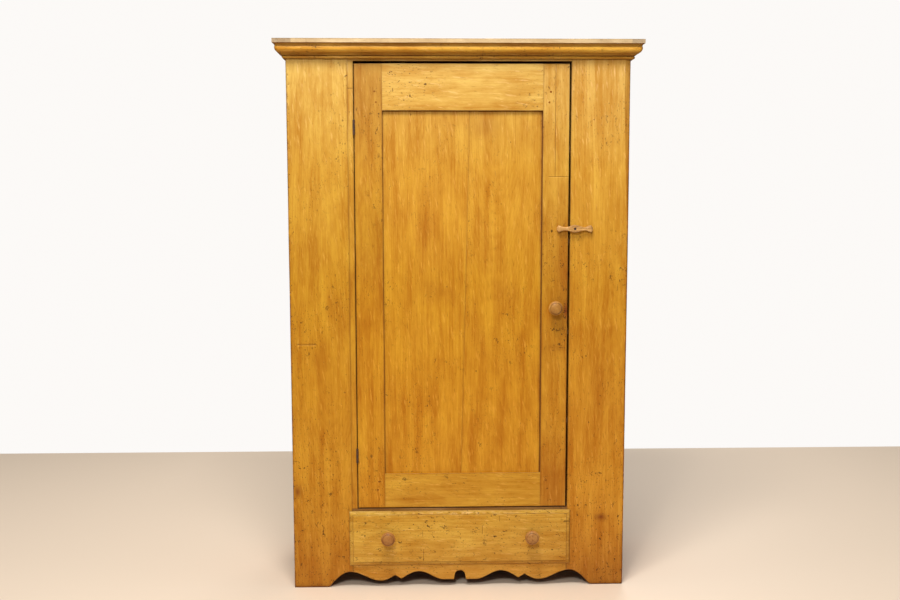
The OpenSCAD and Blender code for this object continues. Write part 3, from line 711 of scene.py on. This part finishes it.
def sides():
    """Each side is two boards glued edge to edge, with the foot opening cut across both."""
    for name, face in (("side_left", "-x"), ("side_right", "+x")):
        low, high = span(name)
        seam = low[1] + 0.56 * (high[1] - low[1])
        parts = []
        for y0, y1 in ((low[1], seam), (seam, high[1])):
            middle = (low[1] + high[1]) / 2
            more = middle + 92 * MM * np.sin(np.linspace(-math.pi / 2, math.pi / 2, 61))
            more = more[(more > y0) & (more < y1)]
            arris = (0.6 * MM, 0.35 * MM, 1.5 * MM, 0.4 * MM) if y0 == low[1] else \
                (0.35 * MM, 1.5 * MM, 1.5 * MM, 0.4 * MM)
            parts.append(((low[0], y0, low[2]), (high[0], y1, high[2]),
                          {"face": face, "step": (5 * MM, 10 * MM), "lines": (more, ()), "dents": 60,
                           "arris": arris, "paint": aged_and_sheen, "tone": (0.93, 0.88, 0.85),
                           "limits": lambda a, top=high[2]: (side_arch(a), top)}))
        boards(name, parts, *CASE)


def inside():
    flat = {"face": "+z", "along": "x", "step": (7 * MM, 16 * MM), "dents": 25, "arris": 1.2 * MM}
    for name in ("shelf_1", "shelf_2", "shelf_3", "shelf_4", "cupboard_floor", "case_top"):
        filled(name, *INSIDE, **flat)
    for name in ("support_rail_front", "support_rail_back"):
        filled(name, *INSIDE, back_grime=UNDERSIDE_SHADE, **flat)
    for side in ("left", "right"):
        for name in ("drawer_runner_" + side, "drawer_guide_" + side):
            filled(name, *INSIDE, face="+z", along="y", step=(5 * MM, 12 * MM), dents=20)
        cleats = "shelf_cleats_" + side
        levels = np.unique(np.round(corners(cleats)[:, 2], 4))
        tops = levels[1::2]
        tall = levels[1] - levels[0]
        low, high = span(cleats)
        parts = [((low[0], low[1], z - tall), (high[0], high[1], z),
                  {"face": "+x" if side == "left" else "-x", "along": "y", "step": (5 * MM, 12 * MM),
                   "dents": 20}) for z in tops]
        boards(cleats, parts, *INSIDE)
    for i in range(1, 6):
        name = f"back_board_{i}"
        low, high = span(name)
        lap = 7 * MM if i > 1 else 0.0
        board(name, *INSIDE, (low[0] + lap, low[1], low[2]), high,
              face="+y", step=(7 * MM, 16 * MM), arris=1.0 * MM, dents=20, rough=1.6,
              tone=(0.82, 0.78, 0.74))


# ------------ crown

def arc(centre, radii, start, stop, count):
    """Points on an elliptical arc, with angles in degrees."""
    angles = np.radians(np.linspace(start, stop, count))
    return [(centre[0] + radii[0] * math.cos(a), centre[1] + radii[1] * math.sin(a)) for a in angles]


def crown_section():
    """Reach and height in millimetres: bead, cove, ovolo, fillet and cavetto, inside the CAD's."""
    points = [(0.2, 0.0)] + arc((5.9, 4.75), (4.6, 4.6), -90, 90, 13) + [(8.4, 10.4), (11.6, 10.9)]
    points += arc((19.8, 11.7), (7.5, 6.5), 180, 95, 9)
    points += arc((19.8, 35), (12.8, 16.8), -88, 0, 15) + [(32.4, 37), (31.4, 38)]
    points += arc((38.2, 38.9), (6.8, 10), 180, 90, 11)
    return np.array(points + [(38.2, 49), (0.2, 49)])


def moulding(form, section, stations, place, seed):
    """Sweeps the section through the stations, slightly uneven, as old hand-run mouldings are."""
    rings = []
    for s in stations:
        ring = section.copy()
        ring[:, 0] += 0.35 * noise(ring[:, 1] / 9, np.full(len(ring), s / 0.06), seed)
        ring[:, 0] = np.clip(ring[:, 0], 0.2, None)
        rings.append(place(ring * MM, s))
    shift = np.random.default_rng(seed).uniform(0, 40)

    def grain(verts):
        along = verts[:, 0] if place is along_front else verts[:, 1]
        inward = verts[:, 1] - FACE_Y if place is along_front else np.abs(verts[:, 0])
        return np.stack([verts[:, 2] - CASE_HIGH[2], along + shift, inward * 0.5], -1)

    heights = np.tile(section[:, 1], len(stations))
    # painted shade: dark lines in the quirk over the bead and along the bead's foot, and darker in the
    # cove and in the cavetto under the cap
    quirk_shade = 0.5 * np.exp(-((heights - 10.6) / 1.5) ** 2) + 0.45 * np.exp(-(heights / 1.3) ** 2)
    cove = 0.26 * smooth(heights, 10, 11.5) * (1 - smooth(heights, 17, 22))
    cavetto = 0.32 * smooth(heights, 36, 39)
    grime = 0.06 + quirk_shade + (cove + cavetto)
    # a painted highlight along the ovolo's crest
    crest_highlight = np.exp(-((heights - 31) / 6) ** 2)[:, None]
    tint = np.array((0.8, 0.9, 1.9)) * (1 + 0.3 * crest_highlight)
    loft(form, np.array(rings), grain, tint, grime)


def along_front(ring, s):
    """A crown ring across the front, where s runs from -1 to 1 between the mitres."""
    x = s * (CASE_HIGH[0] + ring[:, 0])
    return np.stack([x, FACE_Y - ring[:, 0], CROWN_Z + ring[:, 1]], -1)


def along_side(way):
    """A crown ring down one side, where s runs from 0 at the mitre to 1 at the back."""
    back = span("cap_left")[HIGH][1]

    def place(ring, s):
        y = FACE_Y - ring[:, 0] * (1 - s) + s * (back - FACE_Y)
        return np.stack([way * (CASE_HIGH[0] + ring[:, 0]), y, CROWN_Z + ring[:, 1]], -1)
    return place


def crown():
    section = crown_section()
    form = Form()
    moulding(form, section, np.linspace(-1, 1, 121), along_front, 11)
    form.piece("crown_front", *CASE, "crown_front")
    for name, way in (("crown_left", -1), ("crown_right", 1)):
        form = Form()
        moulding(form, section, np.linspace(0, 1, 45), along_side(way), 20 + way)
        form.piece(name, *CASE, name)


def caps():
    sawn = {"face": "+z", "step": (3 * MM, 7 * MM), "arris": 0.9 * MM, "back_arris": 0.8 * MM}
    filled("cap_front", *CAPS, along="x", **sawn)
    for name in ("cap_left", "cap_right"):
        filled(name, *CAPS, along="y", tone=(0.7, 0.72, 0.8), **sawn)


# ------------ door

FINE = np.array([0, 0.7, 1.5, 2.5, 4.0, 6.0]) * MM


def panel_dirt(aa, bb, reach):
    """Dirt and old finish where the panel meets its frame, least of it on the hinge side, and a painted
    shadow along its top under the door's top rail.
    """
    left, right = aa - PANEL_LEFT, PANEL_RIGHT - aa
    top = PANEL_TOP - bb
    sides = 0.9 * np.exp(-np.abs(left) / (2.2 * MM)) + 2.4 * np.exp(-np.abs(right) / (2.6 * MM))
    # painted shadow along the top, under the door's top rail
    return sides + 1.2 * np.exp(-np.abs(top) / (3 * MM))


def knob_wear(verts):
    """Scratches in a band below the door's knob and on the edge beside it."""
    band = np.exp(-((verts[:, 2] - 0.949) / 0.012) ** 2) * smooth(verts[:, 0], 0.318, 0.328)
    edge = np.exp(-((verts[:, 2] - 0.98) / 0.09) ** 2) * smooth(verts[:, 0], 0.35, 0.375)
    return 0.2 + 1.2 * band + 0.6 * edge


def door():
    stile = {"arris": (0.6 * MM, 0.5 * MM, 0.8 * MM, 0.8 * MM), "dents": 120, "grime": 0.45}
    low, high = span("door_stile_left")
    board("door_stile_left", *DOOR, low, high,
          tone=(0.97, 0.93, 0.76), wear=0.1,
          paint=sheen_and_stains((-0.31, 1.88, 0.2, 0.35, (0.72, 0.63, 0.5)),
                        (-0.31, 1.28, 0.2, 0.16, (0.87, 0.84, 0.78)),
                        (-0.31, 0.56, 0.2, 0.16, (1.05, 1.12, 1.2))), **stile)
    low, high = span("door_stile_right")
    # an old repair: a long split from the top, and the line across where it ends
    repair = [(0.3347, 0.3353, 1.475, high[2] + 0.01, 0.5 * MM),
              (0.313, 0.381, 1.4747, 1.4753, 0.45 * MM)]
    # chips in a band below the knob, on the edge beside it, and lower down
    repair += bruises(17, 0.324, 0.375, 0.931, 0.94, 3, 4.6 * MM)
    repair += bruises(3, 0.36, 0.367, 0.916, 0.92, 18, 4 * MM)
    repair += bruises(26, 0.367, 0.378, 0.975, 1.03, 4, 3.6 * MM)
    repair += bruises(12, 0.33, 0.376, 0.86, 0.885, 19, 3 * MM)
    # stains and wear, over the tint by height with its painted sheen
    worn = sheen_and_stains((0.378, 1.006, 0.010, 0.032, (0.45, 0.24, 0.4)),
                   (0.35, 0.872, 0.04, 0.013, (0.84, 0.78, 0.75)),
                   (0.35, 1.1, 0.06, 0.3, (0.86, 0.8, 0.75)),
                   (0.34, 0.35, 0.08, 0.14, (0.82, 0.72, 0.7)),
                   (0.37, 1.15, 0.02, 0.12, (0.85, 0.74, 0.7)))
    board("door_stile_right", *DOOR, low, high, tone=(0.97, 0.97, 1.06),
          paint=worn, wear=knob_wear, marks=repair, **stile)
    rail = {"along": "x", "wear": 0.15, "grime": 0.25,
            "arris": (0.5 * MM, 0.5 * MM, 0.8 * MM, 0.8 * MM)}
    for name, tone in (("door_rail_top", (0.99, 1.02, 1.08)), ("door_rail_low", (1.0, 1.12, 1.4))):
        low, high = span(name)
        low[0], high[0] = PANEL_LEFT, PANEL_RIGHT
        board(name, *DOOR, low, high, tone=tone, paint=aged_and_sheen, **rail)
    for name in ("door_panel_left", "door_panel_right"):
        low, high = span(name)

        def edges(bb, low=low, high=high, left=name.endswith("left")):
            """The panel's sides: its two boards meet in a seam that leans."""
            seam = SEAM[0] + (bb - low[2]) / (high[2] - low[2]) * (SEAM[1] - SEAM[0])
            return (low[0], seam) if left else (seam, high[0])
        board(name, *DOOR, low, high, tone=(1.01, 1.0, 0.87),
              paint=sheen_and_stains((0, 1.76, 0.4, 0.25, (0.9, 0.86, 0.82)),
                            (0, 1.36, 0.4, 0.2, (0.97, 0.92, 0.92)),
                            (0.094, 1.65, 0.05, 0.04, (0.87, 0.83, 0.88)),
                            (-0.09, 1.07, 0.06, 0.05, (0.9, 0.85, 0.88)),
                            (0.15, 1.08, 0.05, 0.06, (0.92, 0.87, 0.9)),
                            (-0.1, 1.32, 0.05, 0.12, (0.93, 0.87, 0.85))),
              arris=0.4 * MM, grime=0.3, dents=110, step=(4 * MM, 8 * MM), a_limits=edges, wear=0.08,
              dirt=panel_dirt, lines=([*(PANEL_LEFT + FINE), *(PANEL_RIGHT - FINE)], PANEL_TOP - FINE))


# Radius in millimetres of the groove round a knob's face, which is painted darker
KNOB_GROOVE = 19.6


def turned(form, centre, profile, sides=56, wobble=0.12, tint=(1, 1, 1), seed=1, wear=0.2, finer=1.0):
    """A shape turned on a lathe, out from the front, from (radius, reach) in millimetres."""
    angles = np.linspace(0, 2 * math.pi, sides, endpoint=False)
    rings = []
    for radius, reach in profile:
        r = radius + wobble * noise(angles * 2.5, np.full(sides, reach / 6.0), seed)
        r = np.maximum(r, 0.05)
        rings.append(np.stack([centre[0] + r * MM * np.cos(angles),
                               np.full(sides, centre[1] - reach * MM),
                               centre[2] + r * MM * np.sin(angles)], -1))

    def grain(verts):
        local = verts - np.array(centre)
        return np.stack([local[:, 0] + 0.012, local[:, 1] + seed, local[:, 2] - 0.02], -1) * finer
    rim, reach = np.repeat(profile, sides, axis=0).T
    groove = np.exp(-((rim - KNOB_GROOVE) / 0.9) ** 2) * (reach > 30)
    grime = 0.1 + 0.5 * groove
    loft(form, np.array(rings), grain, tint, grime, wear)


def knob_profile():
    """Collar, neck, mushroom head with two turned rings, and a slightly domed face."""
    points = [(8, -10), (8, -0.2), (14.6, -0.1), (14.9, 0.8), (14.9, 2.2), (14.2, 3.0)]
    points += [(11 + 3.6 * (1 - math.sin(a)), 3.1 + 7.5 * (1 - math.cos(a)))
               for a in np.linspace(0.1, math.pi / 2, 9)]
    points += arc((16.7, 25.6), (8.5, 9.8), -58, 62, 19)
    points += [(20.4, 34.8), (20.1, 33.4), (19.1, 33.4), (18.7, 35.0)]
    points += [(18.7 * (1 - t), 35.4 + 4.4 * math.sin(math.pi / 2 * t) ** 0.6)
               for t in np.linspace(0.03, 1, 18) ** 1.5]
    return points


def knobs():
    """The knobs' necks run back into their boards, as their tenons do."""
    for name, body, tint, wobble, wear, finer in (
            ("door_knob", "door", (0.94, 0.95, 0.62), 0.15, 0.1, 1.5),
            ("drawer_knob_left", "drawer", (0.85, 0.76, 0.6), 0.15, 0.3, 1.8),
            ("drawer_knob_right", "drawer", (1.0, 1.0, 0.9), 0.7, 1.3, 2.6)):
        low, high = span(name)
        reach = 40 * MM
        centre = ((low[0] + high[0]) / 2, low[1] + reach, (low[2] + high[2]) / 2)
        form = Form()
        turned(form, centre, knob_profile(), wobble=wobble, tint=tint, seed=len(name), wear=wear,
               finer=finer)
        form.piece(name, WOOD["knob"], body, "knob_wood", name)


def pegs():
    """One form holds all the pegs, placed where the CAD node's separate solids are."""
    form = Form()
    points = corners("door_pegs")
    reach = 12 * MM
    seen = []
    for x, z in points[:, [0, 2]]:
        if all(abs(x - c[0]) > reach or abs(z - c[1]) > reach for c in seen):
            near = points[(np.abs(points[:, 0] - x) < reach) & (np.abs(points[:, 2] - z) < reach)]
            seen.append((near[:, 0].mean(), near[:, 2].mean()))
    thick = span("door_stile_left")[HIGH][1] - FACE_Y
    for k, (x, z) in enumerate(seen):
        profile = [(0.1, -thick / MM + 0.1), (3.3, -thick / MM + 0.1), (3.7, -thick / MM + 0.8),
                   (3.8, -1.0), (3.5, -0.25), (2.2, -0.05), (0.1, -0.02)]
        turned(form, (x, FACE_Y, z), profile, 12, 0.4, (0.4, 0.3, 0.3), k + 3)
    form.piece("door_pegs", *DOOR, "door_pegs")


def turn_button():
    low, high = span("turn_button")
    mid_x, mid_z = (low[0] + high[0]) / 2, (low[2] + high[2]) / 2
    half = outline(["turn_button"], 0,
                   lambda p: (np.abs(p[:, 1] - low[1]) < 1e-4) & (p[:, 2] > mid_z + 5.5 * MM), False)

    def limits(a):
        tip = smooth(np.abs(a - mid_x), 57 * MM, 63 * MM)
        rise = np.clip(half(a) - mid_z, 6 * MM, None) * (1 - 0.25 * tip)
        return mid_z - rise, mid_z + rise

    def carve(aa, bb, reach):
        out = np.abs(aa - mid_x)
        neck = 3.0 * MM * smooth(out, 12 * MM, 34 * MM) * (1 - 0.5 * smooth(out, 40 * MM, 60 * MM))
        tail = 4.0 * MM * smooth(out, 54 * MM, 63 * MM)
        hole = np.hypot(aa - mid_x, bb - mid_z)
        pocket = 4.0 * MM * (1 - smooth(hole, 4.1 * MM, 5.0 * MM))
        facets = 0.9 * MM * (1 + noise(aa / 0.014, bb / 0.009, 9))
        return np.maximum(neck + tail + facets, pocket)
    board("turn_button", WOOD["button"], "turn_button", "button_wood", low, high, along="x",
          step=(0.9 * MM, 1.3 * MM), arris=5.0 * MM, back_arris=2.0 * MM, limits=limits, relief=carve,
          near=np.array([0.3, 0.8, 1.5, 2.4, 3.4, 4.6]) * MM, dents=0, grime=0.3)


# ------------ drawer

def lip(aa, bb, reach):
    """The thumbnail moulding round the drawer's front, and the step up to its field."""
    edge = np.minimum.reduce(reach) / MM
    thumb = 2 + 6 * np.sqrt(np.clip(1 - (1 - np.clip(edge, 0, 12) / 12) ** 2, 0, 1))
    return (10 - thumb - 2 * smooth(edge, 13.3, 14.3)) * MM


def lip_dirt(aa, bb, reach):
    """Painted shade in the step round the drawer's field, and a little more on the moulding outside it.
    """
    edge = np.minimum.reduce(reach) / MM
    return 0.45 * np.exp(-((edge - 13.5) / 1.1) ** 2) + 0.10 * (1 - smooth(edge, 11, 14))


def drawer_paint(verts):
    """A little darker to the right, and pale in flecks along the top of the moulding: worn finish, and
    a painted highlight on its upper face.
    """
    tint = sheen_and_stains((0.36, 0.19, 0.25, 0.3, (0.93, 0.87, 0.86)))(verts)
    below = span("drawer_front")[HIGH][2] - verts[:, 2]
    flecks = smooth(noise(verts[:, 0] / 0.011, verts[:, 2] / 0.004, 5), 0.0, 0.4)
    # pale flecks: worn finish, and a painted highlight along the moulding's upper face
    pale_flecks_and_highlight = flecks * np.exp(-((below - 9 * MM) / (5 * MM)) ** 2)
    pale_flecks_and_highlight *= 0.35 + 0.65 * np.exp(-((verts[:, 0] - 0.01) / 0.14) ** 2)
    return tint * (1 + pale_flecks_and_highlight[:, None] * (np.array((1.4, 1.6, 4.0)) - 1))


def drawer():
    low, high = span("drawer_front")
    left, right = span("drawer_side_left")[LOW], span("drawer_side_right")[HIGH]
    top = span("divider_rail")[LOW][2] - 2 * MM
    near = np.array([0.3, 0.9, 1.8, 3, 4.5, 6.5, 9, 12, 12.9, 13.4, 13.8, 14.2, 14.7, 16]) * MM
    scratches = [(x, x + 0.8 * MM, z0, z1, 0.4 * MM) for x, z0, z1 in (
        (-0.1295, 0.098, 0.143), (0.083, 0.196, 0.228), (0.145, 0.243, 0.262), (-0.132, 0.189, 0.205))]
    scratches += bruises(44, -0.38, 0.385, 0.098, 0.27, 9, 3 * MM)
    parts = [((low[0], low[1], low[2]), (high[0], FACE_Y, high[2]),
              {"along": "x", "relief": lip, "near": near, "arris": 0.5 * MM, "dents": 190,
               "tone": (1.18, 1.58, 2.65), "paint": drawer_paint, "grime": 0.5, "dirt": lip_dirt,
               "wear": 0.7, "marks": scratches}),
             ((left[0], FACE_Y, left[2]), (right[0], high[1], top),
              {"face": "+y", "along": "x", "tone": (0.8, 0.9, 1.2), "step": (6 * MM, 14 * MM)})]
    boards("drawer_front", parts, *DRAWER)
    for name, face in (("drawer_side_left", "-x"), ("drawer_side_right", "+x")):
        s_low, s_high = span(name)
        s_low[1] = high[1]
        board(name, *DRAWER_BOX, s_low, s_high, face=face, along="y", step=(5 * MM, 12 * MM),
              arris=1.0 * MM, dents=25, tone=DRAWER_TONE)
    filled("drawer_back", *DRAWER_BOX, face="+y", along="x", step=(5 * MM, 12 * MM), dents=25,
           tone=DRAWER_TONE)
    filled("drawer_bottom", *DRAWER_BOX, face="+z", along="x", step=(7 * MM, 16 * MM), dents=25,
           tone=DRAWER_TONE, back_grime=UNDERSIDE_SHADE)


# ------------ ironwork

def ironwork():
    names = [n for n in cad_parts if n.startswith("hinge_") and n != "hinge_strip"]
    for name in names + ["back_nails", "cap_nails", "turn_button_screw"]:
        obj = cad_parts[name]
        obj.data.materials.clear()
        obj.data.materials.append(IRON)
        bevel = obj.modifiers.new("worn_edges", "BEVEL")
        bevel.width, bevel.segments, bevel.limit_method = 0.3 * MM, 2, "ANGLE"


# ------------ room, light and camera

def floor():
    """A plain floor that ends behind the cupboard, where a room's floor would meet its wall."""
    mesh = bpy.data.meshes.new("floor")
    wide, near, far = 5.0, -6.0, 1.72
    rim = [(-wide, near, 0), (wide, near, 0), (wide, far, 0), (-wide, far, 0)]
    mesh.from_pydata(rim, [], [(0, 1, 2, 3)])
    mesh.materials.append(floor_finish())
    obj = bpy.data.objects.new("floor", mesh)
    bpy.context.scene.collection.objects.link(obj)


def softbox(name, place, aim, size, power):
    """A square lamp at a place, turned towards an aim; power in watts. The camera doesn't see it."""
    data = bpy.data.lights.new(name, "AREA")
    data.size, data.energy = size, power
    obj = bpy.data.objects.new(name, data)
    obj.location = place
    obj.visible_camera = False
    obj.rotation_euler = (Vector(aim) - Vector(place)).to_track_quat("-Z", "Y").to_euler()
    bpy.context.scene.collection.objects.link(obj)


def light():
    """A near white surround, a dim fill, and soft boxes overhead, in front, behind and at the sides."""
    world = bpy.data.worlds.new("studio")
    bpy.context.scene.world = world
    world.use_nodes = True
    tree = world.node_tree
    seen = tree.nodes["Background"]
    seen.inputs["Color"].default_value = (0.975, 0.952, 0.93, 1)
    seen.inputs["Strength"].default_value = 1.0
    fill = tree.nodes.new("ShaderNodeBackground")
    fill.inputs["Color"].default_value = (0.95, 0.97, 1.0, 1)
    fill.inputs["Strength"].default_value = 0.13
    path = tree.nodes.new("ShaderNodeLightPath")
    either = tree.nodes.new("ShaderNodeMixShader")
    tree.links.new(path.outputs["Is Camera Ray"], either.inputs[0])
    tree.links.new(fill.outputs[0], either.inputs[1])
    tree.links.new(seen.outputs[0], either.inputs[2])
    tree.links.new(either.outputs[0], tree.nodes["World Output"].inputs["Surface"])
    softbox("above", (-0.3, -1.5, 3.9), (0, -0.2, 1.1), 0.8, 102)
    softbox("front", (-0.8, -4.3, 3.7), (0, -0.2, 0.7), 1.0, 105)
    softbox("ceiling", (0, 0.9, 5.4), (0, 0.9, 0), 5.0, 92)
    softbox("behind", (1.4, 4.4, 3.0), (0, 0.3, 1.0), 2.0, 60)
    softbox("left", (-4.2, -0.5, 2.6), (-0.6, 0, 1.0), 2.0, 26)
    softbox("right", (4.2, -0.5, 2.6), (0.6, 0, 1.0), 2.0, 26)
    bpy.context.scene.view_settings.view_transform = "Standard"


def camera():
    """Stands in front, a little to the left of the middle, at chest height, looking slightly down."""
    pitch, yaw, roll = math.radians(6.069), math.radians(1.535), math.radians(-0.072)
    ahead = Vector((math.sin(yaw) * math.cos(pitch), math.cos(yaw) * math.cos(pitch), -math.sin(pitch)))
    right = Vector((math.cos(yaw), -math.sin(yaw), 0))
    up = right.cross(ahead)
    right, up = (math.cos(roll) * right + math.sin(roll) * up,
                 math.cos(roll) * up - math.sin(roll) * right)
    data = bpy.data.cameras.new("camera")
    data.lens, data.sensor_width = 40.0, 36.0
    obj = bpy.data.objects.new("camera", data)
    eye = Matrix.Translation((-0.126, FACE_Y - 3.503, 1.417))
    obj.matrix_world = eye @ Matrix((right, up, -ahead)).transposed().to_4x4()
    bpy.context.scene.collection.objects.link(obj)
    bpy.context.scene.camera = obj


camera()
light()
floor()
face_frame()
sides()
inside()
crown()
caps()
door()
knobs()
pegs()
turn_button()
drawer()
ironwork()
